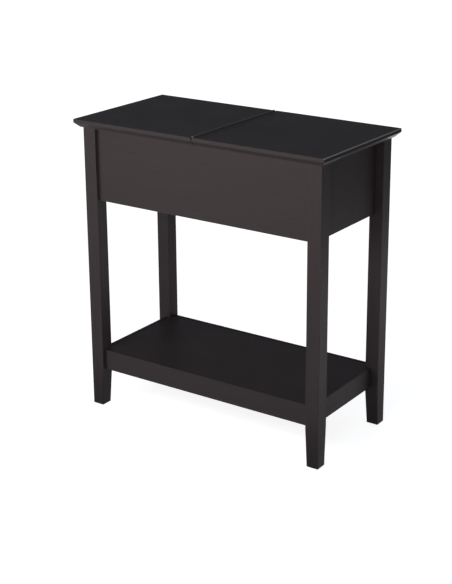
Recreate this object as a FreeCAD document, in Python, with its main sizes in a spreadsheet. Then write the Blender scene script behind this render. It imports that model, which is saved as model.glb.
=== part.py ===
import FreeCAD, Part
import math
import os
import Sketcher
from FreeCAD import Placement, Rotation, Vector

# Flip top end table. Millimetres, +Z up, front towards -Y.
# The origin is on the floor, under the middle of the top.

SIZES = [
    ("top_length", 565, "both halves of the top together, along X"),
    ("top_depth", 282, "front to back"),
    ("table_height", 600, "floor to the top's upper face"),
    ("top_thickness", 16, "thickness of both halves"),
    ("top_bevel", 9, "chamfer under the outer edges of the top"),
    ("top_arris", 1.5, "rounding of the upper outer edges"),
    ("top_corner", 2, "rounding of the upright corners"),
    ("seam_arris", 2.2, "chamfer beside the hinge knuckle"),
    ("end_overhang", 13, "top past the legs at each end"),
    ("front_overhang", 14.5, "top past the legs at front and back"),
    ("leg_side", 28.5, "square section of a leg"),
    ("foot_side", 24.5, "section at the floor, after both tapers"),
    ("foot_height", 81, "floor to the start of the taper and the rails"),
    ("leg_arris", 1, "rounding along a leg"),
    ("board_thickness", 12, "aprons and shelf rails"),
    ("board_arris", 0.8, "rounding of a board's outer edges"),
    ("front_setback", 6.5, "front and back boards, behind the leg faces"),
    ("side_setback", 16.5, "end boards, behind the leg faces"),
    ("apron_height", 146, "height of the box under the top"),
    ("rail_height", 42, "height of the shelf rails"),
    ("shelf_thickness", 9, "lower shelf board"),
    ("shelf_lip", 6, "rail left standing around the shelf"),
    ("shelf_drop", 0.5, "shelf below the rail edges"),
    ("floor_thickness", 6, "compartment floor"),
    ("floor_groove", 5, "depth of the grooves that hold it"),
    ("floor_rise", 8, "apron edge below those grooves"),
    ("divider_thickness", 12, "cross board under the seam"),
    ("divider_housing", 4, "depth of its housings in the aprons"),
    ("panel_play", 0.3, "gap around a board in its groove"),
    ("fit_play", 0.1, "radial gap around fittings"),
    ("joint_depth", 10, "dowel and bolt inside a leg"),
    ("dowel_diameter", 6, "beech dowel"),
    ("dowel_length", 28, "beech dowel"),
    ("dowel_chamfer", 0.8, "ends of a dowel"),
    ("apron_dowel_edge", 28, "dowel from an apron's edge"),
    ("rail_dowel_rise", 9, "dowel above a rail's lower edge"),
    ("rail_bolt_rise", 23, "bolt above a rail's lower edge"),
    ("cam_diameter", 12, "cam disc"),
    ("cam_depth", 9.5, "cam disc"),
    ("cam_setback", 24, "cam centre from the end of its board"),
    ("cam_slot_length", 7, "cross recess in a cam"),
    ("cam_slot_width", 1.4, "cross recess in a cam"),
    ("cam_slot_depth", 2, "cross recess in a cam"),
    ("bolt_thread", 6, "part of a cam bolt inside a leg"),
    ("bolt_shank", 5, "cam bolt between leg and cam"),
    ("bolt_neck", 3, "cam bolt under its head"),
    ("bolt_head", 5, "head of a cam bolt"),
    ("bolt_head_length", 3, "head of a cam bolt"),
    ("hinge_inset", 4, "hinge short of the front and back edges"),
    ("hinge_rise", 0.2, "hinge axis above the top's upper face"),
    ("knuckle_diameter", 3.6, "rolled knuckles"),
    ("knuckle_count", 23, "knuckles of both leaves, an odd number"),
    ("knuckle_gap", 0.3, "gap between neighbouring knuckles"),
    ("pin_diameter", 1.8, "hinge pin"),
    ("pin_play", 0.05, "radial running gap on the pin"),
    ("leaf_thickness", 0.8, "hinge leaf"),
    ("leaf_height", 10, "hinge leaf below the axis"),
    ("leaf_gap", 0.4, "gap between the folded leaves"),
    ("hinge_screw_count", 6, "screws in each leaf"),
    ("hinge_screw_diameter", 2.5, "countersunk screw"),
    ("hinge_screw_length", 14, "countersunk screw"),
    ("hinge_screw_drop", 6, "screws below the axis"),
    ("screw_tip", 2, "point of every wood screw"),
    ("bracket_width", 16, "angle bracket"),
    ("bracket_reach", 20, "each arm of an angle bracket"),
    ("bracket_thickness", 1.5, "angle bracket"),
    ("bracket_hole_reach", 12, "screw hole from the bracket's corner"),
    ("bracket_screw_diameter", 3, "pan head screw"),
    ("bracket_screw_length", 10, "pan head screw, below its head"),
    ("bracket_head_diameter", 5.6, "pan head screw"),
    ("bracket_head_height", 1.8, "pan head screw"),
    ("glide_diameter", 16, "nail-on glide"),
    ("glide_thickness", 2.5, "nail-on glide below the leg"),
    ("glide_edge", 0.8, "bevel of a glide's rim"),
    ("glide_nail", 2.4, "nail of a glide"),
    ("glide_nail_length", 12, "nail of a glide"),
    ("overrun", 2, "how far cuts run past a face"),
]

doc = FreeCAD.newDocument("flip_top_end_table")
sheet = doc.addObject("Spreadsheet::Sheet", "sizes")
for row, (alias, number, meaning) in enumerate(SIZES, start=1):
    sheet.set(f"A{row}", alias)
    sheet.set(f"B{row}", str(number))
    sheet.set(f"C{row}", meaning)
    sheet.setAlias(f"B{row}", alias)
doc.recompute()

# Places that several pieces share, as formulas on the sheet.
LEG_X = "(sizes.top_length / 2 - sizes.end_overhang)"
LEG_Y = "(sizes.top_depth / 2 - sizes.front_overhang)"
LEG_INNER_X = f"({LEG_X} - sizes.leg_side)"
LEG_INNER_Y = f"({LEG_Y} - sizes.leg_side)"
UNDER_TOP = "(sizes.table_height - sizes.top_thickness)"
LEG_LENGTH = f"({UNDER_TOP} - sizes.glide_thickness)"
TAPER_LENGTH = "(sizes.foot_height - sizes.glide_thickness)"
APRON_Z = f"({UNDER_TOP} - sizes.apron_height)"
FRONT_INNER_Y = f"({LEG_Y} - sizes.front_setback - sizes.board_thickness)"
SIDE_INNER_X = f"({LEG_X} - sizes.side_setback - sizes.board_thickness)"
FRONT_SPAN = f"({LEG_INNER_X} * 2)"
SIDE_SPAN = f"({LEG_INNER_Y} * 2)"
FLOOR_TOP = "(sizes.floor_rise + sizes.floor_thickness)"
SHELF_SEAT = "(sizes.rail_height - sizes.shelf_drop - sizes.shelf_thickness)"
SEAM_HALF = "(sizes.leaf_gap / 2 + sizes.leaf_thickness)"
PANEL_LENGTH = f"(sizes.top_length / 2 - {SEAM_HALF})"
HINGE_Z = "(sizes.table_height + sizes.hinge_rise)"
HINGE_LENGTH = "(sizes.top_depth - sizes.hinge_inset * 2)"
KNUCKLE_PITCH = f"({HINGE_LENGTH} / sizes.knuckle_count)"
MID_BOARD = "(sizes.board_thickness / 2)"
BRACKET_X = f"(({SIDE_INNER_X} + sizes.divider_thickness / 2) / 2)"

APRON_BOLTS = ["sizes.apron_height / 2"]
APRON_DOWELS = ["sizes.apron_dowel_edge", "(sizes.apron_height - sizes.apron_dowel_edge)"]
RAIL_BOLTS = ["sizes.rail_bolt_rise"]
RAIL_DOWELS = ["sizes.rail_dowel_rise"]

# Quarter turns about Z that face a board's outer side this way.
TURNS = {"front": 0, "right": 90, "back": 180, "left": 270}

# Two coordinates closer than this are one place.
SAME_PLACE = 1e-6

NODES = []


def size(formula):
    """The number that a formula on the sheet gives now."""
    return float(sheet.evalExpression(formula))


def node(made, name):
    """Name a finished piece and keep it for export."""
    made.Label = name
    NODES.append(made)
    return made


def new_body(name, at=("0", "0", "0"), turn=0):
    """An empty body, turned about Z and placed by formulas."""
    body = doc.addObject("PartDesign::Body", name)
    body.Placement = Placement(Vector(), Rotation(Vector(0, 0, 1), turn))
    for axis, formula in zip("xyz", at):
        body.setExpression(f"Placement.Base.{axis}", formula)
    return body


def origin_part(body, role):
    return next(part for part in body.Origin.OriginFeatures if part.Role == role)


def sketch(body, plane, lift="0"):
    """A sketch parallel to an origin plane, lifted along that plane's positive world axis."""
    made = body.newObject("Sketcher::SketchObject", f"{body.Name}_sketch")
    made.AttachmentSupport = [(origin_part(body, plane), "")]
    made.MapMode = "FlatFace"
    made.setExpression("AttachmentOffset.Base.z", f"-({lift})" if plane == "XZ_Plane" else lift)
    return made


def pin_point(made, curve, point, x, y):
    """Tie one point of a curve to formulas measured from the sketch's origin."""
    for kind, formula in (("DistanceX", x), ("DistanceY", y)):
        rule = made.addConstraint(Sketcher.Constraint(kind, -1, 1, curve, point, size(formula)))
        made.setExpression(f"Constraints[{rule}]", formula)


def outline(made, corners):
    """Closed run of straight edges through corners given as pairs of formulas."""
    places = [Vector(size(x), size(y), 0) for x, y in corners]
    first = made.GeometryCount
    count = len(corners)
    for i, place in enumerate(places):
        made.addGeometry(Part.LineSegment(place, places[(i + 1) % count]), False)
    for i in range(count):
        made.addConstraint(Sketcher.Constraint("Coincident", first + i, 2, first + (i + 1) % count, 1))
    for i, (x, y) in enumerate(corners):
        pin_point(made, first + i, 1, x, y)
    return made


def rectangle(made, left, low, right, high):
    return outline(made, [(left, low), (right, low), (right, high), (left, high)])


def moved(corner, step, distance):
    """A corner's formulas, moved along a unit step by a distance."""
    return tuple(f"({place} + {way} * {distance})" if way else place for place, way in zip(corner, step))


def rounded_rectangle(made, left, low, right, high, radius, rounded=(0, 1, 2, 3)):
    """Rectangle with the listed corners rounded, counted from the lower left one anticlockwise."""
    corners = [(left, low), (right, low), (right, high), (left, high)]
    steps = [(1, 0), (0, 1), (-1, 0), (0, -1)]
    for i, (dx, dy) in enumerate(steps):
        after = (i + 1) % len(corners)
        start = moved(corners[i], (dx, dy), radius) if i in rounded else corners[i]
        end = moved(corners[after], (-dx, -dy), radius) if after in rounded else corners[after]
        ends = [Vector(size(x), size(y), 0) for x, y in (start, end)]
        made.addGeometry(Part.LineSegment(*ends), False)
        pin_point(made, i, 1, *start)
        pin_point(made, i, 2, *end)
    for i in rounded:
        x, y = moved(corners[i], (steps[i][0] - steps[i - 1][0], steps[i][1] - steps[i - 1][1]), radius)
        hub = Part.Circle(Vector(size(x), size(y), 0), Vector(0, 0, 1), size(radius))
        opening = math.pi + math.pi / 2 * i
        arc = made.addGeometry(Part.ArcOfCircle(hub, opening, opening + math.pi / 2), False)
        made.addConstraint(Sketcher.Constraint("Coincident", arc, 1, (i - 1) % len(corners), 2))
        made.addConstraint(Sketcher.Constraint("Coincident", arc, 2, i, 1))
        rule = made.addConstraint(Sketcher.Constraint("Radius", arc, size(radius)))
        made.setExpression(f"Constraints[{rule}]", radius)
    return made


def circle(made, x, y, radius):
    curve = made.addGeometry(Part.Circle(Vector(size(x), size(y), 0), Vector(0, 0, 1), size(radius)), False)
    pin_point(made, curve, 3, x, y)
    rule = made.addConstraint(Sketcher.Constraint("Radius", curve, size(radius)))
    made.setExpression(f"Constraints[{rule}]", radius)
    return made


def extrude(body, kind, profile, length, toward):
    """Pad or pocket a sketch along the given direction of the body."""
    doc.recompute()
    before = body.Tip.Shape.Volume if body.Tip else 0
    normal = profile.Placement.Rotation.multVec(Vector(0, 0, 1))
    own_way = normal if kind == "Pad" else -normal
    made = body.newObject(f"PartDesign::{kind}", f"{body.Name}_{kind.lower()}")
    made.Profile = profile
    made.setExpression("Length", length)
    made.Reversed = own_way.dot(Vector(*toward)) < 0
    doc.recompute()
    change = made.Shape.Volume - before
    if change == 0 or (change > 0) != (kind == "Pad"):
        raise RuntimeError(f"{made.Name} changes nothing or the wrong way")
    return made


def pad(body, profile, length, toward):
    return extrude(body, "Pad", profile, length, toward)


def pocket(body, profile, depth, toward):
    return extrude(body, "Pocket", profile, depth, toward)


def loft(body, low, high):
    """Straight-sided loft between two sketches of the same kind."""
    made = body.newObject("PartDesign::AdditiveLoft", f"{body.Name}_loft")
    made.Profile = low
    made.Sections = [high]
    made.Ruled = True
    doc.recompute()
    return made


def round_edges(body, radius, wanted):
    """Fillet the edges of the body's tip that a test picks."""
    base = body.Tip
    edges = [f"Edge{i}" for i, edge in enumerate(base.Shape.Edges, start=1) if wanted(edge)]
    made = body.newObject("PartDesign::Fillet", f"{body.Name}_fillet")
    made.Base = (base, edges)
    made.setExpression("Radius", radius)
    doc.recompute()
    return made


def near(one, other):
    return abs(one - other) < SAME_PLACE


def edge_at(edge, axis, formula):
    """Whether all of an edge lies at one coordinate."""
    place = size(formula)
    box = edge.BoundBox
    low, high = getattr(box, f"{axis}Min"), getattr(box, f"{axis}Max")
    return near(low, place) and near(high, place)


# Legs and glides


def board_holes(made, across, rises, base, radius):
    for rise in rises:
        circle(made, across, f"({base} + {rise} - sizes.glide_thickness)", radius)


def joint_sketch(body, plane, setback):
    """Dowel and bolt holes of the apron and the rail that meet one inner face of a leg."""
    made = sketch(body, plane, "sizes.leg_side")
    across = f"({setback} + {MID_BOARD})"
    dowel = "(sizes.dowel_diameter / 2 + sizes.fit_play)"
    bolt = "(sizes.bolt_thread / 2 + sizes.fit_play)"
    board_holes(made, across, APRON_DOWELS, APRON_Z, dowel)
    board_holes(made, across, APRON_BOLTS, APRON_Z, bolt)
    board_holes(made, across, RAIL_DOWELS, "sizes.foot_height", dowel)
    board_holes(made, across, RAIL_BOLTS, "sizes.foot_height", bolt)
    return made


def leg(name, x, y, turn, setback_on_x, setback_on_y):
    """Square post with its outer corner on the local Z axis and a taper on both inner faces of the foot."""
    body = new_body(name, (x, y, "sizes.glide_thickness"), turn)
    side, foot = "sizes.leg_side", "sizes.foot_side"

    def section(level, width):
        return rounded_rectangle(sketch(body, "XY_Plane", level), "0", "0", width, width, "sizes.leg_arris")

    loft(body, section("0", foot), section(TAPER_LENGTH, side))
    pad(body, section(TAPER_LENGTH, side), f"({LEG_LENGTH} - {TAPER_LENGTH})", (0, 0, 1))
    depth = "(sizes.joint_depth + sizes.fit_play)"
    pocket(body, joint_sketch(body, "YZ_Plane", setback_on_x), depth, (-1, 0, 0))
    pocket(body, joint_sketch(body, "XZ_Plane", setback_on_y), depth, (0, -1, 0))
    middle = f"{foot} / 2"
    nail = circle(sketch(body, "XY_Plane"), middle, middle, "(sizes.glide_nail / 2 + sizes.fit_play)")
    pocket(body, nail, "(sizes.glide_nail_length + sizes.fit_play)", (0, 0, 1))
    return node(body, name)


LONG, SHORT = "sizes.front_setback", "sizes.side_setback"
CORNERS = [
    ("front_left", f"-{LEG_X}", f"-{LEG_Y}", 0, LONG, SHORT),
    ("front_right", LEG_X, f"-{LEG_Y}", 90, SHORT, LONG),
    ("back_right", LEG_X, LEG_Y, 180, LONG, SHORT),
    ("back_left", f"-{LEG_X}", LEG_Y, 270, SHORT, LONG),
]
legs = [leg(f"leg_{corner}", *where) for corner, *where in CORNERS]


# Aprons and shelf rails


def board(name, facing, span, height, base, bolts, dowels):
    """Board between two legs: X along it, outer face at Y = 0, bored at both ends for the joints.

    Its outer long edges are rounded, but for an apron's upper one, where the top lies.
    """
    front_face, side_face = f"({LEG_Y} - {LONG})", f"({LEG_X} - {SHORT})"
    places = {
        "front": (f"-{LEG_INNER_X}", f"-{front_face}"),
        "right": (side_face, f"-{LEG_INNER_Y}"),
        "back": (LEG_INNER_X, front_face),
        "left": (f"-{side_face}", LEG_INNER_Y),
    }
    body = new_body(name, (*places[facing], base), TURNS[facing])
    thickness = "sizes.board_thickness"
    pad(body, rectangle(sketch(body, "XY_Plane"), "0", "0", span, thickness), height, (0, 0, 1))
    bare_edges = ["0"] if base == APRON_Z else ["0", height]

    def shows(edge):
        return edge_at(edge, "Y", "0") and any(edge_at(edge, "Z", level) for level in bare_edges)

    round_edges(body, "sizes.board_arris", shows)
    for end, inward in (("0", (1, 0, 0)), (span, (-1, 0, 0))):
        holes = sketch(body, "YZ_Plane", end)
        for rise in dowels:
            circle(holes, MID_BOARD, rise, "(sizes.dowel_diameter / 2 + sizes.fit_play)")
        pocket(body, holes, "(sizes.dowel_length - sizes.joint_depth + sizes.fit_play)", inward)
        bores = sketch(body, "YZ_Plane", end)
        for rise in bolts:
            circle(bores, MID_BOARD, rise, "(sizes.bolt_shank / 2 + sizes.fit_play)")
        pocket(body, bores, "sizes.cam_setback", inward)
    cams = sketch(body, "XZ_Plane", thickness)
    for rise in bolts:
        circle(cams, "sizes.cam_setback", rise, "(sizes.cam_diameter / 2 + sizes.fit_play)")
        circle(cams, f"({span} - sizes.cam_setback)", rise, "(sizes.cam_diameter / 2 + sizes.fit_play)")
    pocket(body, cams, "sizes.cam_depth", (0, -1, 0))
    return node(body, name)


def long_cut(body, span, left, low, right, high):
    """Groove or rebate run along a board's whole length."""
    pocket(body, rectangle(sketch(body, "YZ_Plane"), left, low, right, high), span, (1, 0, 0))


past_inner_face = "(sizes.board_thickness + sizes.overrun)"
aprons = {}
rails = {}
groove_back = "(sizes.board_thickness - sizes.floor_groove)"
groove_top = f"({FLOOR_TOP} + sizes.panel_play)"
above_rail = "(sizes.rail_height + sizes.overrun)"
for facing in TURNS:
    span = FRONT_SPAN if facing in ("front", "back") else SIDE_SPAN
    apron = board(f"{facing}_apron", facing, span, "sizes.apron_height", APRON_Z, APRON_BOLTS, APRON_DOWELS)
    long_cut(apron, span, groove_back, "sizes.floor_rise", past_inner_face, groove_top)
    aprons[facing] = (apron, span)
    rail = board(f"shelf_{facing}_rail", facing, span, "sizes.rail_height", "sizes.foot_height",
                 RAIL_BOLTS, RAIL_DOWELS)
    long_cut(rail, span, "sizes.shelf_lip", SHELF_SEAT, past_inner_face, above_rail)
    rails[facing] = (rail, span)


def divider_housing(body):
    """Upright housing in the middle of a long apron, open at the top."""
    half = "(sizes.divider_thickness / 2 + sizes.fit_play)"
    back = "(sizes.board_thickness - sizes.divider_housing)"
    made = sketch(body, "XY_Plane", "sizes.apron_height")
    rectangle(made, f"({FRONT_SPAN} / 2 - {half})", back, f"({FRONT_SPAN} / 2 + {half})", past_inner_face)
    pocket(body, made, f"(sizes.apron_height - {FLOOR_TOP})", (0, 0, -1))


def bracket_hole(body, along, plane, face, inward):
    """Screw hole for a bracket, below the underside of the top."""
    made = sketch(body, plane, face)
    drop = f"({UNDER_TOP} - sizes.bracket_hole_reach - ({BASES[body.Label]}))"
    circle(made, along, drop, "(sizes.bracket_screw_diameter / 2 + sizes.fit_play)")
    pocket(body, made, "sizes.bracket_screw_length", inward)


# Compartment floor, lower shelf and the board under the seam


def notched_panel(name, half_x, half_y, base, thickness):
    """Board with its corners cut out around the four legs."""
    body = new_body(name, ("0", "0", base))
    notch_x = f"({LEG_INNER_X} - sizes.panel_play)"
    notch_y = f"({LEG_INNER_Y} - sizes.panel_play)"
    quarter = [(half_x, notch_y), (notch_x, notch_y), (notch_x, half_y)]
    corners = quarter + [(f"-{x}", y) for x, y in reversed(quarter)]
    corners += [(f"-{x}", f"-{y}") for x, y in quarter] + [(x, f"-{y}") for x, y in reversed(quarter)]
    pad(body, outline(sketch(body, "XY_Plane"), corners), thickness, (0, 0, 1))
    return node(body, name)


notched_panel(
    "compartment_floor",
    f"({SIDE_INNER_X} + sizes.floor_groove - sizes.panel_play)",
    f"({FRONT_INNER_Y} + sizes.floor_groove - sizes.panel_play)",
    f"({APRON_Z} + sizes.floor_rise)",
    "sizes.floor_thickness",
)
notched_panel(
    "shelf_panel",
    f"({LEG_X} - {SHORT} - sizes.shelf_lip - sizes.panel_play)",
    f"({LEG_Y} - {LONG} - sizes.shelf_lip - sizes.panel_play)",
    f"(sizes.foot_height + {SHELF_SEAT})",
    "sizes.shelf_thickness",
)

divider = new_body("seam_divider", ("0", "0", f"({APRON_Z} + {FLOOR_TOP})"))
divider_half = "(sizes.divider_thickness / 2)"
divider_reach = f"({FRONT_INNER_Y} + sizes.divider_housing - sizes.fit_play)"
divider_plan = sketch(divider, "XY_Plane")
rectangle(divider_plan, f"-{divider_half}", f"-{divider_reach}", divider_half, divider_reach)
pad(divider, divider_plan, f"(sizes.apron_height - {FLOOR_TOP})", (0, 0, 1))
node(divider, "seam_divider")

BASES = {
    "front_apron": APRON_Z,
    "back_apron": APRON_Z,
    "left_apron": APRON_Z,
    "seam_divider": f"({APRON_Z} + {FLOOR_TOP})",
}
for facing in ("front", "back"):
    divider_housing(aprons[facing][0])
inner_face = "sizes.board_thickness"
bracket_hole(aprons["front"][0], f"({LEG_INNER_X} - {BRACKET_X})", "XZ_Plane", inner_face, (0, -1, 0))
bracket_hole(aprons["back"][0], f"({LEG_INNER_X} + {BRACKET_X})", "XZ_Plane", inner_face, (0, -1, 0))
bracket_hole(aprons["left"][0], f"({SIDE_SPAN} / 2)", "XZ_Plane", inner_face, (0, -1, 0))
bracket_hole(divider, "0", "YZ_Plane", f"-{divider_half}", (1, 0, 0))


# The two halves of the top


def hinge_screw_places():
    """Formulas for the screws' places along the hinge."""
    spacing = f"({HINGE_LENGTH} / sizes.hinge_screw_count)"
    count = int(size("sizes.hinge_screw_count"))
    return [f"({spacing} * ({i} + 1 / 2) - {HINGE_LENGTH} / 2)" for i in range(count)]


def top_half(name, turn):
    """Half of the top: X runs outwards from the seam face, which is bored for the hinge screws."""
    seam_face = f"-{SEAM_HALF}" if turn else SEAM_HALF
    body = new_body(name, (seam_face, "0", UNDER_TOP), turn)
    half = "(sizes.top_depth / 2)"
    thickness = "sizes.top_thickness"
    bevel = "sizes.top_bevel"

    def section(level, inset):
        end, side = f"({PANEL_LENGTH} - {inset})", f"({half} - {inset})"
        plan = sketch(body, "XY_Plane", level)
        return rounded_rectangle(plan, "0", f"-{side}", end, side, "sizes.top_corner", (1, 2))

    loft(body, section("0", bevel), section(bevel, "0"))
    pad(body, section(bevel, "0"), f"({thickness} - {bevel})", (0, 0, 1))

    def outer_upper(edge):
        return edge_at(edge, "Z", thickness) and not edge_at(edge, "X", "0")

    round_edges(body, "sizes.top_arris", outer_upper)
    over = "sizes.overrun"
    crest = f"({thickness} + {over})"
    bevel_cut = [(f"-{over}", f"({thickness} - sizes.seam_arris - {over})"),
                 (f"(sizes.seam_arris + {over})", crest), (f"-{over}", crest)]
    seam = outline(sketch(body, "XZ_Plane", f"-({half} + {over})"), bevel_cut)
    pocket(body, seam, f"(sizes.top_depth + {over} * 2)", (0, 1, 0))
    holes = sketch(body, "YZ_Plane")
    level = f"({thickness} + sizes.hinge_rise - sizes.hinge_screw_drop)"
    for place in hinge_screw_places():
        circle(holes, place, level, "(sizes.hinge_screw_diameter / 2 + sizes.fit_play)")
    pocket(body, holes, "sizes.hinge_screw_length", (1, 0, 0))
    return node(body, name)


top_half("flip_top", 0)
fixed_top = top_half("fixed_top", 180)
bracket_holes = sketch(fixed_top, "XY_Plane")
hole_radius = "(sizes.bracket_screw_diameter / 2 + sizes.fit_play)"
for x, y in (
    (BRACKET_X, f"({FRONT_INNER_Y} - sizes.bracket_hole_reach)"),
    (BRACKET_X, f"(sizes.bracket_hole_reach - {FRONT_INNER_Y})"),
    (f"({SIDE_INNER_X} - sizes.bracket_hole_reach)", "0"),
    (f"({divider_half} + sizes.bracket_hole_reach)", "0"),
):
    circle(bracket_holes, f"({x} - {SEAM_HALF})", y, hole_radius)
pocket(fixed_top, bracket_holes, "sizes.bracket_screw_length", (0, 0, 1))


# Continuous hinge: two leaves with interleaved knuckles on one pin


def hinge_leaf(name, turn, first_slot, slot_count):
    """Leaf hanging below the axis on the +X side, with slots where the other leaf's knuckles turn."""
    body = new_body(name, ("0", "0", HINGE_Z), turn)
    start = f"-({HINGE_LENGTH} / 2)"
    knuckle = "(sizes.knuckle_diameter / 2)"
    inner = "(sizes.leaf_gap / 2)"
    strip = rectangle(sketch(body, "XZ_Plane", start), inner, "-sizes.leaf_height", SEAM_HALF, "0")
    pad(body, strip, HINGE_LENGTH, (0, 1, 0))
    pad(body, circle(sketch(body, "XZ_Plane", start), "0", "0", knuckle), HINGE_LENGTH, (0, 1, 0))
    bore = circle(sketch(body, "XZ_Plane", start), "0", "0", "(sizes.pin_diameter / 2 + sizes.pin_play)")
    pocket(body, bore, HINGE_LENGTH, (0, 1, 0))
    outside = f"({knuckle} + sizes.overrun)"
    slot = sketch(body, "YZ_Plane", f"-{outside}")
    slot_start = f"({start} + {first_slot} * {KNUCKLE_PITCH} - sizes.knuckle_gap / 2)"
    slot_end = f"({slot_start} + {KNUCKLE_PITCH} + sizes.knuckle_gap)"
    rectangle(slot, slot_start, f"-({knuckle} + sizes.knuckle_gap)", slot_end, outside)
    cut = pocket(body, slot, f"({outside} * 2)", (1, 0, 0))
    row = body.newObject("PartDesign::LinearPattern", f"{body.Name}_slots")
    row.Originals = [cut]
    row.Direction = (origin_part(body, "Y_Axis"), [""])
    row.setExpression("Length", f"{KNUCKLE_PITCH} * 2 * ({slot_count} - 1)")
    row.setExpression("Occurrences", slot_count)
    body.Tip = row
    doc.recompute()
    centres = sketch(body, "YZ_Plane", inner)
    shank = "(sizes.hinge_screw_diameter / 2 + sizes.fit_play)"
    for place in hinge_screw_places():
        circle(centres, place, "-sizes.hinge_screw_drop", shank)
    doc.recompute()
    hole = body.newObject("PartDesign::Hole", f"{body.Name}_holes")
    hole.Profile = centres
    hole.Reversed = True
    hole.DepthType = "Dimension"
    hole.DrillPoint = "Flat"
    hole.HoleCutType = "Countersink"
    hole.HoleCutCustomValues = True
    hole.HoleCutCountersinkAngle = 90
    hole.setExpression("Diameter", f"{shank} * 2")
    hole.setExpression("HoleCutDiameter", f"({SCREW_HEAD} + sizes.fit_play * 2)")
    hole.setExpression("Depth", "(sizes.leaf_thickness + sizes.overrun)")
    doc.recompute()
    return node(body, name)


SCREW_HEAD = "(sizes.hinge_screw_diameter + sizes.leaf_thickness * 2)"
hinge_leaf("hinge_lid_leaf", 0, 0, "((sizes.knuckle_count + 1) / 2)")
hinge_leaf("hinge_fixed_leaf", 180, 1, "((sizes.knuckle_count - 1) / 2)")

pin = doc.addObject("Part::Cylinder", "hinge_pin")
pin.Placement = Placement(Vector(), Rotation(Vector(1, 0, 0), -90))
pin.setExpression("Radius", "sizes.pin_diameter / 2")
pin.setExpression("Height", HINGE_LENGTH)
pin.setExpression("Placement.Base.y", f"-{HINGE_LENGTH} / 2")
pin.setExpression("Placement.Base.z", HINGE_Z)
node(pin, "hinge_pin")


# Fittings: each form lies along its own X axis and is copied to its places


def turned_form(name, profile):
    """Solid of revolution about X through (place along X, radius) corners."""
    body = new_body(name)
    made = outline(sketch(body, "XY_Plane"), profile)
    spin = body.newObject("PartDesign::Revolution", f"{name}_turning")
    spin.Profile = made
    spin.ReferenceAxis = (made, ["H_Axis"])
    doc.recompute()
    return body


def copies(name, form, places):
    """One node of separate solids: the form repeated at each placement."""
    made = doc.addObject("Part::Feature", name)
    made.Shape = Part.makeCompound([form.Shape.transformed(place.toMatrix(), True) for place in places])
    return node(made, name)


dowel_radius = "(sizes.dowel_diameter / 2)"
dowel_waist = f"({dowel_radius} - sizes.dowel_chamfer)"
dowel_end = "(sizes.dowel_length - sizes.joint_depth)"
dowel = turned_form("dowel_form", [
    ("-sizes.joint_depth", "0"),
    (dowel_end, "0"),
    (dowel_end, dowel_waist),
    (f"({dowel_end} - sizes.dowel_chamfer)", dowel_radius),
    ("(sizes.dowel_chamfer - sizes.joint_depth)", dowel_radius),
    ("-sizes.joint_depth", dowel_waist),
])
neck_start = "(sizes.cam_setback - sizes.cam_diameter / 2)"
head_start = "(sizes.cam_setback - sizes.bolt_head_length / 2)"
head_end = "(sizes.cam_setback + sizes.bolt_head_length / 2)"
cam_bolt = turned_form("cam_bolt_form", [
    ("-sizes.joint_depth", "0"),
    (head_end, "0"),
    (head_end, "sizes.bolt_head / 2"),
    (head_start, "sizes.bolt_head / 2"),
    (head_start, "sizes.bolt_neck / 2"),
    (neck_start, "sizes.bolt_neck / 2"),
    (neck_start, "sizes.bolt_shank / 2"),
    ("0", "sizes.bolt_shank / 2"),
    ("0", "sizes.bolt_thread / 2"),
    ("-sizes.joint_depth", "sizes.bolt_thread / 2"),
])
hinge_screw = turned_form("hinge_screw_form", [
    ("0", "0"),
    ("sizes.hinge_screw_length", "0"),
    ("(sizes.hinge_screw_length - sizes.screw_tip)", "sizes.hinge_screw_diameter / 2"),
    ("sizes.leaf_thickness", "sizes.hinge_screw_diameter / 2"),
    ("0", f"{SCREW_HEAD} / 2"),
])
bracket_screw_end = "(sizes.bracket_screw_length - sizes.bracket_thickness)"
bracket_screw = turned_form("bracket_screw_form", [
    ("-sizes.bracket_head_height", "0"),
    (bracket_screw_end, "0"),
    (f"({bracket_screw_end} - sizes.screw_tip)", "sizes.bracket_screw_diameter / 2"),
    ("0", "sizes.bracket_screw_diameter / 2"),
    ("0", "sizes.bracket_head_diameter / 2"),
    ("-sizes.bracket_head_height", "sizes.bracket_head_diameter / 2"),
])
glide = turned_form("glide_form", [
    ("0", "0"),
    ("(sizes.glide_thickness + sizes.glide_nail_length)", "0"),
    ("(sizes.glide_thickness + sizes.glide_nail_length - sizes.screw_tip)", "sizes.glide_nail / 2"),
    ("sizes.glide_thickness", "sizes.glide_nail / 2"),
    ("sizes.glide_thickness", "sizes.glide_diameter / 2"),
    ("sizes.glide_edge", "sizes.glide_diameter / 2"),
    ("0", "(sizes.glide_diameter / 2 - sizes.glide_edge)"),
])


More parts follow.
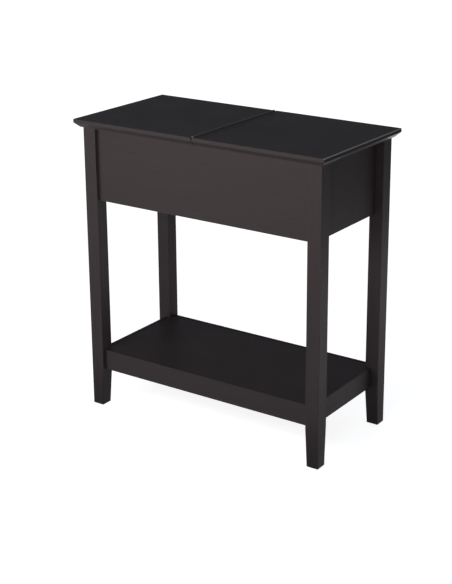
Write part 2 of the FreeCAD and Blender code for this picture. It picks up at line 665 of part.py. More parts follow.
def cam_form():
    """Cam disc around the bolt's head: keyhole open below, cross recess in the face."""
    body = new_body("cam_form")
    face = MID_BOARD
    foot = f"({face} - sizes.cam_depth)"
    pad(body, circle(sketch(body, "XZ_Plane", foot), "sizes.cam_setback", "0", "sizes.cam_diameter / 2"),
        "sizes.cam_depth", (0, 1, 0))
    neck = "(sizes.bolt_neck / 2 + sizes.fit_play)"
    head = "(sizes.bolt_head / 2 + sizes.fit_play)"
    outside = f"({neck_start} - sizes.overrun)"
    near_end = f"({head_start} - sizes.fit_play)"
    far_end = f"({head_end} + sizes.fit_play)"
    keyhole = [(outside, f"-{neck}"), (near_end, f"-{neck}"), (near_end, f"-{head}"), (far_end, f"-{head}"),
               (far_end, head), (near_end, head), (near_end, neck), (outside, neck)]
    pocket(body, outline(sketch(body, "XZ_Plane", foot), keyhole), f"({head} - {foot})", (0, 1, 0))
    long, wide = "(sizes.cam_slot_length / 2)", "(sizes.cam_slot_width / 2)"
    middle = "sizes.cam_setback"
    for half_x, half_z in ((long, wide), (wide, long)):
        slot = sketch(body, "XZ_Plane", face)
        rectangle(slot, f"({middle} - {half_x})", f"-{half_z}", f"({middle} + {half_x})", half_z)
        pocket(body, slot, "sizes.cam_slot_depth", (0, -1, 0))
    return body


def bracket_form():
    """Angle bracket in the corner of a board's face (Y = 0) and the underside of the top (Z = 0)."""
    body = new_body("bracket_form")
    reach, thick = "sizes.bracket_reach", "sizes.bracket_thickness"
    half = "(sizes.bracket_width / 2)"
    arms = [("0", "0"), ("0", f"-{reach}"), (thick, f"-{reach}"), (thick, f"-{thick}"),
            (reach, f"-{thick}"), (reach, "0")]
    pad(body, outline(sketch(body, "YZ_Plane", f"-{half}"), arms), "sizes.bracket_width", (1, 0, 0))
    hole = "(sizes.bracket_screw_diameter / 2 + sizes.fit_play)"
    at = "sizes.bracket_hole_reach"
    pocket(body, circle(sketch(body, "XZ_Plane"), "0", f"-{at}", hole), thick, (0, 1, 0))
    pocket(body, circle(sketch(body, "XY_Plane"), "0", at, hole), thick, (0, 0, -1))
    return body


def end_frames(boards, rises):
    """Placements at both ends of each board, X pointing into the board along a fitting."""
    frames = []
    for body, span in boards.values():
        for rise in rises:
            for along, flip in ((0, 0), (size(span), 180)):
                end = Vector(along, size(MID_BOARD), size(rise))
                frames.append(body.Placement.multiply(Placement(end, Rotation(Vector(0, 1, 0), flip))))
    return frames


cam = cam_form()
copies("apron_dowels", dowel, end_frames(aprons, APRON_DOWELS))
copies("rail_dowels", dowel, end_frames(rails, RAIL_DOWELS))
copies("apron_cam_bolts", cam_bolt, end_frames(aprons, APRON_BOLTS))
copies("rail_cam_bolts", cam_bolt, end_frames(rails, RAIL_BOLTS))
copies("apron_cams", cam, end_frames(aprons, APRON_BOLTS))
copies("rail_cams", cam, end_frames(rails, RAIL_BOLTS))


def screw_frames(outwards, turn):
    """Hinge screws on one side of the seam, driven away from it."""
    x = size("sizes.leaf_gap / 2") * outwards
    level = size(f"({HINGE_Z} - sizes.hinge_screw_drop)")
    heading = Rotation(Vector(0, 0, 1), turn)
    return [Placement(Vector(x, size(place), level), heading) for place in hinge_screw_places()]


copies("hinge_lid_screws", hinge_screw, screw_frames(1, 0))
copies("hinge_fixed_screws", hinge_screw, screw_frames(-1, 180))

under = size(UNDER_TOP)
bracket_places = [
    Placement(Vector(-size(BRACKET_X), -size(FRONT_INNER_Y), under), Rotation(Vector(0, 0, 1), 0)),
    Placement(Vector(-size(BRACKET_X), size(FRONT_INNER_Y), under), Rotation(Vector(0, 0, 1), 180)),
    Placement(Vector(-size(SIDE_INNER_X), 0, under), Rotation(Vector(0, 0, 1), -90)),
    Placement(Vector(-size(divider_half), 0, under), Rotation(Vector(0, 0, 1), 90)),
]
copies("top_brackets", bracket_form(), bracket_places)
inset = size("sizes.bracket_hole_reach")
plate = size("sizes.bracket_thickness")
into_board = Placement(Vector(0, plate, -inset), Rotation(Vector(0, 0, 1), -90))
into_top = Placement(Vector(0, inset, -plate), Rotation(Vector(0, 1, 0), -90))
copies("bracket_screws", bracket_screw,
       [place.multiply(way) for place in bracket_places for way in (into_board, into_top)])

foot_middle = size("sizes.foot_side / 2")
upwards = Rotation(Vector(0, 1, 0), -90)
for post, (corner, *_) in zip(legs, CORNERS):
    under_leg = Placement(Vector(foot_middle, foot_middle, -size("sizes.glide_thickness")), upwards)
    copies(f"glide_{corner}", glide, [post.Placement.multiply(under_leg)])


# Check every object, then write one file for each piece

doc.recompute()
failed = [made.Label for made in doc.Objects if {"Invalid", "Error"} & set(made.State)]
failed += [made.Label for made in NODES if made.Shape.isNull() or not made.Shape.isValid()]
if failed:
    raise RuntimeError(f"not built: {failed}")
os.makedirs("parts", exist_ok=True)
for made in NODES:
    made.Shape.exportStep(f"parts/{made.Label}.step")
print(len(NODES), "pieces written")
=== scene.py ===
"""Looks of the flip top end table: finishes, turned fittings, studio and camera.

Metres, +Z up and the front towards -Y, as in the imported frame.
"""
from math import radians

import bpy
import numpy as np
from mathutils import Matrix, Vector


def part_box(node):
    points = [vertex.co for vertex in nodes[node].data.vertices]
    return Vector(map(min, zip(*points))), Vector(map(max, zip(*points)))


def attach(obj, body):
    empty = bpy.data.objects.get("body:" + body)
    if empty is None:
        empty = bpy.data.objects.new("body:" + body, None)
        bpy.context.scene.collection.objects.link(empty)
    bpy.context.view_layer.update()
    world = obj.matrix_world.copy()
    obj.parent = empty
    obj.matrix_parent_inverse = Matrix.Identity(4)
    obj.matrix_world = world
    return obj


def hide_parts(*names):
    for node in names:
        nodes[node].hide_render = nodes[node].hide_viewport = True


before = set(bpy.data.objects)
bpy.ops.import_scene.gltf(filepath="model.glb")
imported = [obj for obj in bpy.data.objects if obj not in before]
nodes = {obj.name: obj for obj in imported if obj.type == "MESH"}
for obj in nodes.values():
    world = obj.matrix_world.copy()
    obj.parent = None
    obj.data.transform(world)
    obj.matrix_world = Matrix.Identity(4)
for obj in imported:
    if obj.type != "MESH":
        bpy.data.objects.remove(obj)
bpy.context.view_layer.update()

MM = 0.001
ALONG_X, ALONG_Y, ALONG_Z = range(3)


# Shader maths


class Shade:
    """A socket in a node tree. Arithmetic on it adds the nodes that work it out."""

    def __init__(self, tree, socket=None):
        self.tree, self.socket = tree, socket

    def node(self, kind, settings=None, sockets=None, output=0):
        """Add a node: its settings first, then the values or links of its sockets."""
        made = self.tree.nodes.new(kind)
        for name, value in (settings or {}).items():
            setattr(made, name, value)
        for key, value in (sockets or {}).items():
            if isinstance(value, Shade):
                self.tree.links.new(value.socket, made.inputs[key])
            else:
                made.inputs[key].default_value = value
        return Shade(self.tree, made.outputs[output] if made.outputs else None)

    def work(self, operation, first, second):
        """Vector Math where either part is a vector, else Math."""
        parts = [part for part in (first, second) if isinstance(part, Shade)]
        vector = any(part.socket.type == "VECTOR" for part in parts)
        kind = "ShaderNodeVectorMath" if vector else "ShaderNodeMath"
        return self.node(kind, {"operation": operation}, {0: first, 1: second})

    def __add__(self, other):
        return self.work("ADD", self, other)

    def __radd__(self, other):
        return self.work("ADD", other, self)

    def __sub__(self, other):
        return self.work("SUBTRACT", self, other)

    def __rsub__(self, other):
        return self.work("SUBTRACT", other, self)

    def __mul__(self, other):
        return self.work("MULTIPLY", self, other)

    def __rmul__(self, other):
        return self.work("MULTIPLY", other, self)

    def __abs__(self):
        return self.node("ShaderNodeMath", {"operation": "ABSOLUTE"}, {0: self})

    def least(self, other):
        return self.work("MINIMUM", self, other)

    def most(self, other):
        return self.work("MAXIMUM", self, other)

    def rise(self, low, high):
        """0 below low, 1 above high, and a smooth step between them."""
        return self.node(
            "ShaderNodeMapRange", {"interpolation_type": "SMOOTHSTEP"},
            {"Value": self, "From Min": low, "From Max": high},
        )

    def blend(self, first, second):
        """The first colour where this is 0, the second where it is 1."""
        return self.node("ShaderNodeMix", {"data_type": "RGBA"}, {0: self, 6: first, 7: second}, 2)

    def dot(self, direction):
        """How far this vector reaches in a direction."""
        return self.node("ShaderNodeVectorMath", {"operation": "DOT_PRODUCT"}, {0: self, 1: direction}, 1)

    def length(self):
        """How long this vector is."""
        return self.node("ShaderNodeVectorMath", {"operation": "LENGTH"}, {0: self}, 1)

    def split(self):
        """The three parts of a vector."""
        parts = self.node("ShaderNodeSeparateXYZ", None, {0: self}).socket.node.outputs
        return [Shade(self.tree, part) for part in parts]

    def noise(self, scale, detail=2.0, roughness=0.5, distortion=0.0):
        """Cloudy noise at this place, about 0.5 on average."""
        return self.node("ShaderNodeTexNoise", None, {
            "Vector": self, "Scale": scale, "Detail": detail,
            "Roughness": roughness, "Distortion": distortion,
        })

    def cells(self, scale):
        """Distance from the middle of the nearest of many small cells."""
        return self.node("ShaderNodeTexVoronoi", None, {"Vector": self, "Scale": scale})


def colour(red, green, blue):
    return (red, green, blue, 1.0)


def grey(level):
    return colour(level, level, level)


def new_finish(name):
    """An empty material, and the Object coordinates in it."""
    made = bpy.data.materials.new(name)
    made.use_nodes = True
    made.node_tree.nodes.clear()
    return made, Shade(made.node_tree).node("ShaderNodeTexCoord", output="Object")


def close_finish(place, sockets, height):
    """Principled surface with these sockets, its normal bumped by a height in metres."""
    bump = place.node("ShaderNodeBump", None, {"Height": height, "Strength": 1.0, "Distance": 1.0})
    surface = place.node("ShaderNodeBsdfPrincipled", None, {**sockets, "Normal": bump})
    place.node("ShaderNodeOutputMaterial", None, {"Surface": surface})


# Finishes

ESPRESSO_DARK = colour(0.0403, 0.0316, 0.0324)
ESPRESSO_LIGHT = colour(0.0447, 0.0350, 0.0360)
# Colour of the pores, also used for painted shade under the top's bevel, on the rails' upper edges and on the
# shelf
ESPRESSO_PORE_AND_SHADE = colour(0.028, 0.0220, 0.0226)
# Near black for painted shade: towards the floor, beside a leg, round the shelf and on the flip top's end
# face
ESPRESSO_PAINTED_SHADE = colour(0.008, 0.007, 0.007)
# Lighter colour of rubbed edges, partly a painted highlight along the arrises
ESPRESSO_RUBBED_AND_HIGHLIGHT = colour(0.100, 0.074, 0.066)
# Pale colour of the painted highlight and painted reflection at the flip top's right end
ESPRESSO_PAINTED_HIGHLIGHT = colour(0.46, 0.42, 0.41)
TOP_BEVEL = 9 * MM


def inset(part, low, high):
    """How far a coordinate lies inside the nearer of two faces."""
    return (high - low) / 2 - abs(part - (high + low) / 2)


def on_bevel(inside, above):
    """1 on a bevel under the top, from how far a place is inside the edge and above the underside."""
    return 1 - inside.most(above).rise(TOP_BEVEL - 1.5 * MM, TOP_BEVEL)


def with_painted_shade(board, place, lacquer):
    """A board's lacquer, with the painted shade on that board.

    The legs are darkened towards the floor, a painted shade. Painted shade also lies beside the front left
    leg, on the bevel under the front of both halves of the top, on the shelf, most towards its front, and on
    the upper edges of the rails along it. A painted shadow line runs round the shelf.
    """
    low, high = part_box(board)
    x, y, z = place.split()
    if board.startswith("leg_"):
        # Painted shade: the legs darken towards the floor.
        shade_near_floor = 1 - z.rise(0.0, 130 * MM)
        lacquer = (shade_near_floor * 0.6).blend(lacquer, ESPRESSO_PAINTED_SHADE)
    if board in ("front_apron", "shelf_front_rail"):
        # Painted shadow of the front left leg on the left end of the front apron and front rail.
        corner = 1 - (x - low.x).rise(0.0, 9 * MM)
        lacquer = (corner * 0.7).blend(lacquer, ESPRESSO_PAINTED_SHADE)
    if board in ("flip_top", "fixed_top"):
        # Painted shade on the bevel under the front of the top.
        bevel = on_bevel(y - low.y, z - low.z)
        lacquer = (bevel * 0.8).blend(lacquer, ESPRESSO_PORE_AND_SHADE)
    if board in ("shelf_front_rail", "shelf_back_rail"):
        # Painted shade along the upper edges of the front and back rails.
        lip = z.rise(high.z - 0.4 * MM, high.z - 0.1 * MM)
        lacquer = (lip * 0.9).blend(lacquer, ESPRESSO_PORE_AND_SHADE)
    if board == "shelf_panel":
        # Painted shade: the shelf is darkened, most towards its front, and a painted shadow line runs round
        # its edges.
        tone_shift = 0.75 - y.rise(low.y, 0.0) * 0.35
        gap_shade = 1 - inset(x, low.x, high.x).least(inset(y, low.y, high.y)).rise(0.6 * MM, 1.6 * MM)
        lacquer = (gap_shade * 0.85).blend(tone_shift.blend(lacquer, ESPRESSO_PORE_AND_SHADE), ESPRESSO_PAINTED_SHADE)
    return lacquer


def painted_light_and_polish(place, lacquer, roughness, smudge):
    """Lacquer and roughness at the right end of the flip top, by which it is lifted.

    The end face is darkened with painted shade. The upper edge carries the brightest painted highlight, and
    the bevel below, up to its mitre, carries a painted reflection at its front and is polished at its back.
    """
    low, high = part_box("flip_top")
    x, y, z = place.split()
    inside = high.x - x
    # Painted shade on the end face.
    end_face = 1 - inside.rise(0.2 * MM, 0.6 * MM)
    lacquer = (end_face * 0.9).blend(lacquer, ESPRESSO_PAINTED_SHADE)
    mitre = (y - low.y - inside).rise(0.0, 0.3 * MM)
    bevel = on_bevel(inside, z - low.z) * mitre
    # Painted reflection on the front of the bevel.
    near_front = 1 - y.rise(low.y + 40 * MM, low.y + 85 * MM)
    lacquer = (bevel * near_front * 0.2).blend(lacquer, ESPRESSO_PAINTED_HIGHLIGHT)
    near_back = y.rise(high.y - 110 * MM, high.y - 30 * MM)
    # Painted highlight along the upper edge.
    upper_edge = 1 - inside.most(high.z - z).rise(0.9 * MM, 2.2 * MM)
    lacquer = (upper_edge * (smudge * 0.5 + 0.5)).blend(lacquer, ESPRESSO_PAINTED_HIGHLIGHT)
    return lacquer, roughness - bevel * near_back * 0.25


def espresso(board, along, number):
    """Satin espresso lacquer on a board whose grain runs along one axis.

    The middle one of the distances to the board's three pairs of faces is the distance to its nearest edge,
    where the lacquer is rubbed lighter, partly as a painted highlight. The board's number moves the pattern,
    so that no two are alike.
    """
    made, place = new_finish(f"espresso_{board}")
    in_x, in_y, in_z = [inset(*span) for span in zip(place.split(), *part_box(board))]
    edge = in_x.least(in_y).most(in_x.most(in_y).least(in_z))
    shift = (3.7 * number, 6.1 * number, 2.3 * number)

    def streaks(lengthwise, across, detail, distortion=0.0):
        stretch = [across] * 3
        stretch[along] = lengthwise
        return (place * tuple(stretch) + shift).noise(1.0, detail, 0.55, distortion)

    figure = streaks(lengthwise=1.6, across=17.0, detail=2.0, distortion=0.7)
    streak = streaks(lengthwise=6.0, across=270.0, detail=3.0)
    pore = streaks(lengthwise=60.0, across=1500.0, detail=1.0).rise(0.60, 0.72)
    smudge = (place + shift).noise(scale=11.0, detail=3.0)
    peel = place.noise(scale=430.0, detail=1.0)
    grain = (streak * 0.55 + figure * 0.45).rise(0.28, 0.72)
    wood = (pore * 0.5).blend(grain.blend(ESPRESSO_DARK, ESPRESSO_LIGHT), ESPRESSO_PORE_AND_SHADE)
    # Edges rubbed lighter, which also stands as a painted highlight along the arrises.
    rubbed = (1 - edge.rise(0.2 * MM, 1.5 * MM)) * (smudge.rise(0.38, 0.62) * 0.6 + 0.4)
    lacquer = with_painted_shade(board, place, (rubbed * 0.25).blend(wood, ESPRESSO_RUBBED_AND_HIGHLIGHT))
    roughness = streak * 0.08 + smudge * 0.12 + pore * 0.1 + 0.36
    if board == "flip_top":
        lacquer, roughness = painted_light_and_polish(place, lacquer, roughness, smudge)
    close_finish(place, {
        "Base Color": lacquer,
        "Roughness": roughness,
        "Specular IOR Level": 0.075,
    }, peel * 0.010 * MM + streak * 0.006 * MM - pore * 0.02 * MM)
    return made


def dark_bronze():
    """Dark bronzed hinge steel, rubbed bright along the crest of the knuckles."""
    made, place = new_finish("dark_bronze")
    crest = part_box("hinge_fixed_leaf")[1].z
    level = place.split()[ALONG_Z]
    fleck = place.noise(scale=900.0, detail=3.0)
    blotch = place.noise(scale=70.0)
    rubbed = level.rise(crest - 0.5 * MM, crest) * blotch.rise(0.35, 0.65)
    tone = fleck.rise(0.3, 0.7).blend(colour(0.105, 0.095, 0.092), colour(0.14, 0.127, 0.121))
    close_finish(place, {
        "Base Color": (rubbed * 0.2).blend(tone, colour(0.24, 0.21, 0.19)),
        "Metallic": rubbed * 0.2 + 0.3,
        "Roughness": fleck * 0.16 + blotch * 0.1 + 0.38,
        "Specular IOR Level": 0.2,
    }, fleck * 0.006 * MM)
    return made


def zinc_plate():
    """Bright zinc plating on pressed steel: faint spangle and draw marks."""
    made, place = new_finish("zinc_plate")
    spangle = place.cells(scale=260.0)
    draw = (place * (30.0, 900.0, 900.0)).noise(scale=1.0)
    haze = place.noise(scale=45.0, detail=3.0)
    tone = (spangle * 0.5 + haze * 0.5).blend(colour(0.50, 0.51, 0.54), colour(0.70, 0.71, 0.72))
    close_finish(place, {
        "Base Color": tone,
        "Metallic": 1.0,
        "Roughness": draw * 0.14 + haze * 0.12 + 0.2,
    }, draw * 0.004 * MM)
    return made


def cast_zinc():
    """Dull die-cast zinc with a grainy skin and darker stains."""
    made, place = new_finish("cast_zinc")
    skin = place.noise(scale=1400.0, detail=3.0)
    tone_shift = place.noise(scale=160.0)
    close_finish(place, {
        "Base Color": tone_shift.rise(0.3, 0.7).blend(colour(0.34, 0.35, 0.37), colour(0.52, 0.53, 0.55)),
        "Metallic": 0.9,
        "Roughness": skin * 0.2 + tone_shift * 0.15 + 0.28,
    }, skin * 0.02 * MM)
    return made


def raw_beech():
    """Raw beech: fine warm streaks and the small dark flecks of its rays."""
    made, place = new_finish("raw_beech")
    streak = place.noise(scale=700.0, detail=3.0, roughness=0.6)
    fleck = place.cells(scale=900.0).rise(0.02, 0.25)
    wood = streak.rise(0.3, 0.7).blend(colour(0.56, 0.38, 0.23), colour(0.70, 0.51, 0.33))
    close_finish(place, {
        "Base Color": (fleck * 0.6 + 0.4).blend(colour(0.40, 0.25, 0.14), wood),
        "Roughness": streak * 0.15 + 0.55,
        "Specular IOR Level": 0.3,
    }, streak * 0.02 * MM)
    return made


def glide_plastic():
    """Black moulded plastic, scuffed grey where it slides on the floor."""
    made, place = new_finish("glide_plastic")
    level = place.split()[ALONG_Z]
    skin = place.noise(scale=1100.0)
    scuff = (1 - level.rise(0.2 * MM, 1.1 * MM)) * place.noise(scale=330.0, detail=3.0).rise(0.42, 0.62)
    close_finish(place, {
        "Base Color": (scuff * 0.7).blend(colour(0.022, 0.022, 0.023), grey(0.13)),
        "Roughness": skin * 0.15 + scuff * 0.2 + 0.42,
        "Specular IOR Level": 0.4,
    }, skin * 0.012 * MM)
    return made


def dress(name, finish):
    """Give a CAD node its finish."""
    slots = nodes[name].data.materials
    slots.clear()
    slots.append(finish)


BOARDS = {
    "leg_front_left": ALONG_Z, "leg_front_right": ALONG_Z,
    "leg_back_right": ALONG_Z, "leg_back_left": ALONG_Z,
    "front_apron": ALONG_X, "right_apron": ALONG_Y,
    "back_apron": ALONG_X, "left_apron": ALONG_Y,
    "shelf_front_rail": ALONG_X, "shelf_right_rail": ALONG_Y,
    "shelf_back_rail": ALONG_X, "shelf_left_rail": ALONG_Y,
    "compartment_floor": ALONG_X, "shelf_panel": ALONG_X, "seam_divider": ALONG_Y,
    "flip_top": ALONG_X, "fixed_top": ALONG_X,
}
for number, (board, along) in enumerate(BOARDS.items(), start=1):
    dress(board, espresso(board, along, number))

BRONZE, PLATED, BEECH = dark_bronze(), zinc_plate(), raw_beech()
CAST, PLASTIC = cast_zinc(), glide_plastic()
for name in ("hinge_lid_leaf", "hinge_fixed_leaf"):
    dress(name, BRONZE)
for name in ("apron_cams", "rail_cams"):
    dress(name, CAST)
dress("top_brackets", PLATED)
for corner in ("front_left", "front_right", "back_right", "back_left"):
    dress(f"glide_{corner}", PLASTIC)


# Surfaces of rings


def rings(rows, columns):
    """Numbers of a grid's points, row by row, and of the next point round the same row."""
    ring = np.arange(rows * columns).reshape(rows, columns)
    return ring, np.roll(ring, -1, axis=1)


def ring_quads(ring, after):
    """Four-sided faces between neighbouring rows."""
    return np.stack([ring[:-1], after[:-1], after[1:], ring[1:]], axis=-1).reshape(-1, 4)


def new_surface(name, points, faces, finish):
    """Object at the origin with a mesh of these points and faces."""
    made = bpy.data.meshes.new(name)
    made.from_pydata(points.reshape(-1, 3).tolist(), [], faces)
    made.materials.append(finish)
    shown = bpy.data.objects.new(name, made)
    bpy.context.scene.collection.objects.link(shown)
    return shown


# Turned fittings, in millimetres along their own axis

COLUMNS = 64
TURN = np.linspace(0, 2 * np.pi, COLUMNS, endpoint=False)

# Radius of a fitting's first and last ring, beside the points that close it
POINT = 0.05


def lathe_rows(corners, step):
    """Rows down a lathe profile: straight runs between its (along, radius) corners, cut into steps."""
    runs = []
    for start, end in zip(corners[:-1], corners[1:]):
        cuts = max(1, int(np.ceil(np.hypot(*np.subtract(end, start)) / step)))
        runs.append(np.linspace(start, end, cuts, endpoint=False))
    along, radius = np.vstack(runs + [corners[-1:]]).T
    return along[:, None] + 0 * TURN, radius[:, None] + 0 * TURN


def thread(along, start, end, pitch, depth):
    """Depth of a right-handed V groove.

    It is a triangle wave of along / pitch - turn, faded out over a pitch at its ends.
    """
    wave = 1 - abs(2 * ((along / pitch - TURN / (2 * np.pi)) % 1) - 1)
    fade = np.clip((along - start) / pitch, 0, 1) * np.clip((end - along) / pitch, 0, 1)
    return depth * wave * fade


def cross_recess(radius, reach, width, depth):
    """Depth of a driver's cross: two crossing slots a width wide whose floors rise towards their ends."""
    one, other = abs(radius * np.cos(TURN)), abs(radius * np.sin(TURN))
    slot = np.clip((width / 2 - np.minimum(one, other)) / (width / 5), 0, 1)
    return depth * slot * np.sqrt(np.clip(1 - np.maximum(one, other) / reach, 0, 1))


def turned(name, along, radius, places, axes, body, slot, finish):
    """One piece of like fittings that replaces the CAD node of its name and rides on a body.

    Each point is place + along * axis + radius * (cos turn * side + sin turn * other side), and a point on
    the axis closes each end. Places are in metres, along and radius in millimetres.
    """
    axes = np.asarray(axes, float)
    side = np.where(abs(axes[:, 2:]) < 0.5, (0.0, 0.0, 1.0), (1.0, 0.0, 0.0))
    other = np.cross(axes, side)
    spokes = np.cos(TURN)[:, None] * side[:, None] + np.sin(TURN)[:, None] * other[:, None]
    skin = along[..., None] * axes[:, None, None] + radius[..., None] * spokes[:, None]
    ends = np.array([along[0].mean(), along[-1].mean()])[:, None] * axes[:, None]
    count = len(axes)
    points = np.concatenate([skin.reshape(count, -1, 3), ends], axis=1) * MM + np.asarray(places)[:, None]
    ring, after = rings(*along.shape)
    tip, tail = np.full_like(ring[:2], [[ring.size], [ring.size + 1]])
    fans = np.concatenate([
        np.stack([tip, after[0], ring[0]], axis=-1),
        np.stack([tail, ring[-1], after[-1]], axis=-1),
    ])
    first = np.arange(count)[:, None, None] * points.shape[1]
    faces = (first + ring_quads(ring, after)).reshape(-1, 4).tolist() + (first + fans).reshape(-1, 3).tolist()
    shown = new_surface(f"turned_{name}", points, faces, finish)
    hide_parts(name)
    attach(shown, body)


HINGE_SCREWS_A_LEAF = 6
HINGE_SCREW_DROP = 6 * MM
LEAF_GAP = 0.4 * MM


def hinge_screws():
    """Countersunk wood screws in both leaves: recess in the head, thread below the leaf, pointed tip."""
    length, head, shank, leaf, tip = 14, 2.05, 1.25, 0.8, 2
    along, radius = lathe_rows([
        (0, POINT), (0, head), (leaf, shank), (length - tip, shank), (length, POINT),
    ], step=0.16)
    on_head = (along == 0) * cross_recess(radius, reach=1.5, width=0.55, depth=0.5)
    groove = thread(along, start=1.2, end=length, pitch=1.1, depth=0.3)
    radius = radius - groove * np.minimum(1, radius / shank)
    low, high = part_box("hinge_pin")
    spread = (np.arange(HINGE_SCREWS_A_LEAF) + 0.5) / HINGE_SCREWS_A_LEAF
    for name, body, heading in (("hinge_lid_screws", "lid", 1), ("hinge_fixed_screws", "table", -1)):
        places = np.empty((HINGE_SCREWS_A_LEAF, 3))
        places[:, 0] = heading * LEAF_GAP / 2
        places[:, 1] = low.y + spread * (high.y - low.y)
        places[:, 2] = (low.z + high.z) / 2 - HINGE_SCREW_DROP
        axes = np.tile((heading, 0.0, 0.0), (HINGE_SCREWS_A_LEAF, 1))
        turned(name, along + on_head, radius, places, axes, body, "hinge_metal", BRONZE)


def hinge_pin():
    """Drawn steel pin with rounded ends, seen at the front and back of the knuckles."""
    low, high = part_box("hinge_pin")
    length, bar = (high.y - low.y) / MM, (high.z - low.z) / MM / 2
    flatness = 0.6
    bow = np.linspace(0.05, np.pi / 2, 8)
    round_end = list(zip(bar * (1 - np.cos(bow)) * flatness, bar * np.sin(bow)))
    other_end = [(length - place, out) for place, out in round_end[::-1]]
    along, radius = lathe_rows(round_end + other_end, step=10)
    middle = (low + high) / 2
    places = [(middle.x, low.y, middle.z)]
    turned("hinge_pin", along, radius, places, [(0, 1, 0)], "table", "hinge_metal", BRONZE)


PLATE = 1.5 * MM
BRACKET_HOLE = 12 * MM


def bracket_screws():
    """Pan head screws of the angle brackets: one into the board beside it, one up into the fixed half."""
    crown, head, shank, end, tip = 1.8, 2.8, 1.5, 8.5, 2
    along, radius = lathe_rows([
        (-crown, POINT), (-crown, 1.7), (0.25 - crown, 2.35), (0.75 - crown, head), (0, head),
        (0, shank), (end - tip, shank), (end, POINT),
    ], step=0.2)
    on_head = (along == -crown) * cross_recess(radius, reach=1.6, width=0.7, depth=1.0)
    groove = thread(along, start=1.0, end=end, pitch=1.2, depth=0.35)
    radius = radius - groove * np.minimum(1, radius / shank)
    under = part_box("fixed_top")[0].z
    left_face, seam_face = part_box("left_apron")[1].x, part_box("seam_divider")[0].x
    between = (left_face + seam_face) / 2
    up = np.array((0.0, 0.0, 1.0))
    places, axes = [], []
    for corner, inward in (
        ((between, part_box("front_apron")[1].y, under), (0, 1, 0)),
        ((between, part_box("back_apron")[0].y, under), (0, -1, 0)),
        ((left_face, 0, under), (1, 0, 0)),
        ((seam_face, 0, under), (-1, 0, 0)),
    ):
        corner, inward = np.array(corner, float), np.array(inward, float)
        places += [corner + PLATE * inward - BRACKET_HOLE * up, corner + BRACKET_HOLE * inward - PLATE * up]
        axes += [-inward, up]
    turned("bracket_screws", along + on_head, radius, places, axes, "table", "zinc_steel", PLATED)


def board_ends(boards, rises):
    """Places halfway through both ends of each board, at these heights above its lower edge.

    With them come axes from the ends into the board.
    """
    places, axes = [], []
    for board in boards:
        low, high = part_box(board)
        run = BOARDS[board]
        for rise in rises:
            for end, heading in ((low, 1.0), (high, -1.0)):
                place, axis = (low + high) / 2, np.zeros(3)
                place[run], place.z = end[run], low.z + rise * MM
                axis[run] = heading
                places.append(tuple(place))
                axes.append(axis)
    return places, axes


SIDES = ("front", "right", "back", "left")
APRONS = [f"{side}_apron" for side in SIDES]
RAILS = [f"shelf_{side}_rail" for side in SIDES]
IN_LEG, DOWEL_END, BOLT_END = 10, 18, 25.5


def dowels():
    """Beech dowels with straight flutes pressed into them: radius less a raised cosine of the turn."""
    bar, bevel, flutes, flute_depth = 3.0, 0.8, 16, 0.24
    along, radius = lathe_rows([
        (-IN_LEG, POINT), (-IN_LEG, bar - bevel), (bevel - IN_LEG, bar),
        (DOWEL_END - bevel, bar), (DOWEL_END, bar - bevel), (DOWEL_END, POINT),
    ], step=30)
    radius = radius - (radius == bar) * flute_depth * (1 - np.cos(flutes * TURN)) / 2
    for name, boards, rises in (("apron_dowels", APRONS, (28, 118)), ("rail_dowels", RAILS, (9,))):
        turned(name, along, radius, *board_ends(boards, rises), "table", "beech", BEECH)


def cam_bolts():
    """Bolts screwed into the legs: coarse thread, shank, neck and a mushroom head that the cam draws in."""
    screw, bevel, shank, neck, ease = 3.0, 0.8, 2.5, 1.5, 0.4
    neck_start, neck_end = 18, 22.5
    along, radius = lathe_rows([
        (-IN_LEG, POINT), (-IN_LEG, screw - bevel), (bevel - IN_LEG, screw), (0, screw),
        (0, shank), (neck_start - ease, shank), (neck_start, shank - ease),
        (neck_start, neck), (neck_end, neck),
        (neck_end, shank - ease), (neck_end + ease, shank), (BOLT_END - ease, shank),
        (BOLT_END, shank - ease), (BOLT_END, POINT),
    ], step=0.3)
    on_head = (along == BOLT_END) * cross_recess(radius, reach=1.9, width=0.8, depth=1.1)
    radius = radius - thread(along, start=-IN_LEG, end=-0.5, pitch=1.9, depth=0.7)
    for name, boards, rises in (("apron_cam_bolts", APRONS, (73,)), ("rail_cam_bolts", RAILS, (23,))):
        turned(name, along - on_head, radius, *board_ends(boards, rises), "table", "zinc_steel", PLATED)


hinge_screws()
hinge_pin()
bracket_screws()
dowels()
cam_bolts()


# Studio

VIEW_TURN = radians(33.697)

# Across the paper's right edge, which runs off to the right as it recedes from the camera
PAPER_FLARE = 0.17
PAPER_RIGHT = (
    np.cos(VIEW_TURN) + PAPER_FLARE * np.sin(VIEW_TURN),
    np.sin(VIEW_TURN) - PAPER_FLARE * np.cos(VIEW_TURN),
    0.0,
)
FLOOR_REACH = 14.0
FLOOR_DROP = 0.05 * MM


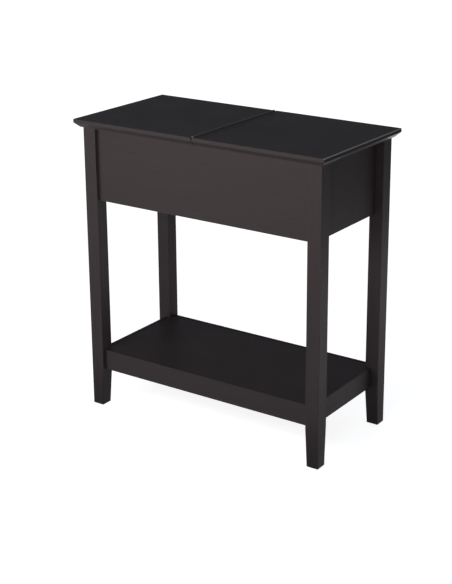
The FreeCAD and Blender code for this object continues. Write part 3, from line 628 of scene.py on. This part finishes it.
def pale_floor():
    """Floor disc just under the glides: (radius cos turn, radius sin turn), radius = reach * share squared.

    White paper lies under the table and all round it, but for a pale grey floor on the right of the camera's
    view. From below the floor is clear.
    """
    shares = np.linspace(1, 0.001, 40)
    turns = np.linspace(0, 2 * np.pi, 96, endpoint=False)
    share, turn = np.meshgrid(shares, turns, indexing="ij")
    radius = FLOOR_REACH * share ** 2
    level = np.full_like(radius, -FLOOR_DROP)
    points = np.stack([radius * np.cos(turn), radius * np.sin(turn), level], axis=-1)
    made, place = new_finish("pale_floor")
    seen = place.node("ShaderNodeLightPath", output="Is Camera Ray")
    for ray in ("Is Glossy Ray", "Is Transmission Ray"):
        seen = seen.most(place.node("ShaderNodeLightPath", output=ray))
    paper = place.length().rise(0.5, 2.5).blend(grey(0.87), grey(1.0))
    glow = place.dot(PAPER_RIGHT).rise(0.5, 1.9).blend(paper, grey(0.42))
    lit = place.node("ShaderNodeBsdfPrincipled", None, {
        "Base Color": grey(0.55),
        "Roughness": 0.9,
        "Specular IOR Level": 0.0,
        "Emission Color": seen.blend(grey(0.0), glow),
        "Emission Strength": 1.0,
    })
    under = place.node("ShaderNodeNewGeometry", output="Backfacing")
    clear = place.node("ShaderNodeBsdfTransparent")
    surface = place.node("ShaderNodeMixShader", None, {0: under, 1: lit, 2: clear})
    place.node("ShaderNodeOutputMaterial", None, {"Surface": surface})
    new_surface("floor", points, ring_quads(*rings(*radius.shape)).tolist(), made)


def sky():
    """A dim room, white near the floor but for the right of the camera's view, with a soft light overhead."""
    world = bpy.data.worlds.new("room")
    world.use_nodes = True
    world.node_tree.nodes.clear()
    bpy.context.scene.world = world
    toward = Shade(world.node_tree).node("ShaderNodeTexCoord", output="Generated")
    height = toward.split()[ALONG_Z]
    horizon = toward.dot(PAPER_RIGHT).rise(0.05, 0.45).blend(grey(1.0), grey(0.45))
    wall = height.rise(0.02, 0.14).blend(horizon, colour(0.138, 0.152, 0.172))
    room = height.rise(0.80, 0.95).blend(wall, colour(0.34, 0.40, 0.46))
    light = toward.node("ShaderNodeBackground", None, {"Color": room, "Strength": 1.0})
    toward.node("ShaderNodeOutputWorld", None, {"Surface": light})


def softbox(name, place, target, size, watts, spread=180, shiny=True):
    """Rectangular lamp of a (width, height), aimed at a point. Surfaces mirror it only where it is shiny."""
    lamp = bpy.data.lights.new(name, "AREA")
    lamp.shape = "RECTANGLE"
    lamp.size, lamp.size_y = size
    lamp.energy = watts
    lamp.spread = radians(spread)
    shown = bpy.data.objects.new(name, lamp)
    shown.location = place
    shown.rotation_euler = (Vector(target) - Vector(place)).to_track_quat("-Z", "Y").to_euler()
    shown.visible_camera = False
    shown.visible_glossy = shiny
    bpy.context.scene.collection.objects.link(shown)


pale_floor()
sky()
softbox(
    "front_softbox", place=(-0.08, -0.80, 0.645), target=(-0.08, -0.14, 0.625),
    size=(1.4, 0.25), watts=6.85,
)
softbox(
    "low_fill", place=(1.1, 0.55, 0.25), target=(0.27, 0.0, 0.28),
    size=(0.4, 0.2), watts=0.13, spread=22,
)
softbox(
    "back_softbox", place=(-0.48, 1.45, 0.06), target=(-0.05, 0.14, 0.34),
    size=(1.2, 0.08), watts=3.0, spread=45, shiny=False,
)
softbox(
    "left_softbox", place=(-1.50, 0.37, 0.06), target=(-0.28, 0.0, 0.34),
    size=(0.9, 0.08), watts=2.0, spread=45, shiny=False,
)


# Camera

VIEW_DIP = radians(17.470)

lens = bpy.data.cameras.new("photo_camera")
lens.sensor_width = 36.0
lens.lens = 82.649
lens.shift_x, lens.shift_y = -0.0533, -0.1
camera = bpy.data.objects.new("photo_camera", lens)
camera.location = (1.41705, -2.04909, 1.16445)
camera.rotation_euler = (radians(90) - VIEW_DIP, 0, VIEW_TURN)
bpy.context.scene.collection.objects.link(camera)
bpy.context.scene.camera = camera
bpy.context.scene.view_settings.view_transform = "Standard"
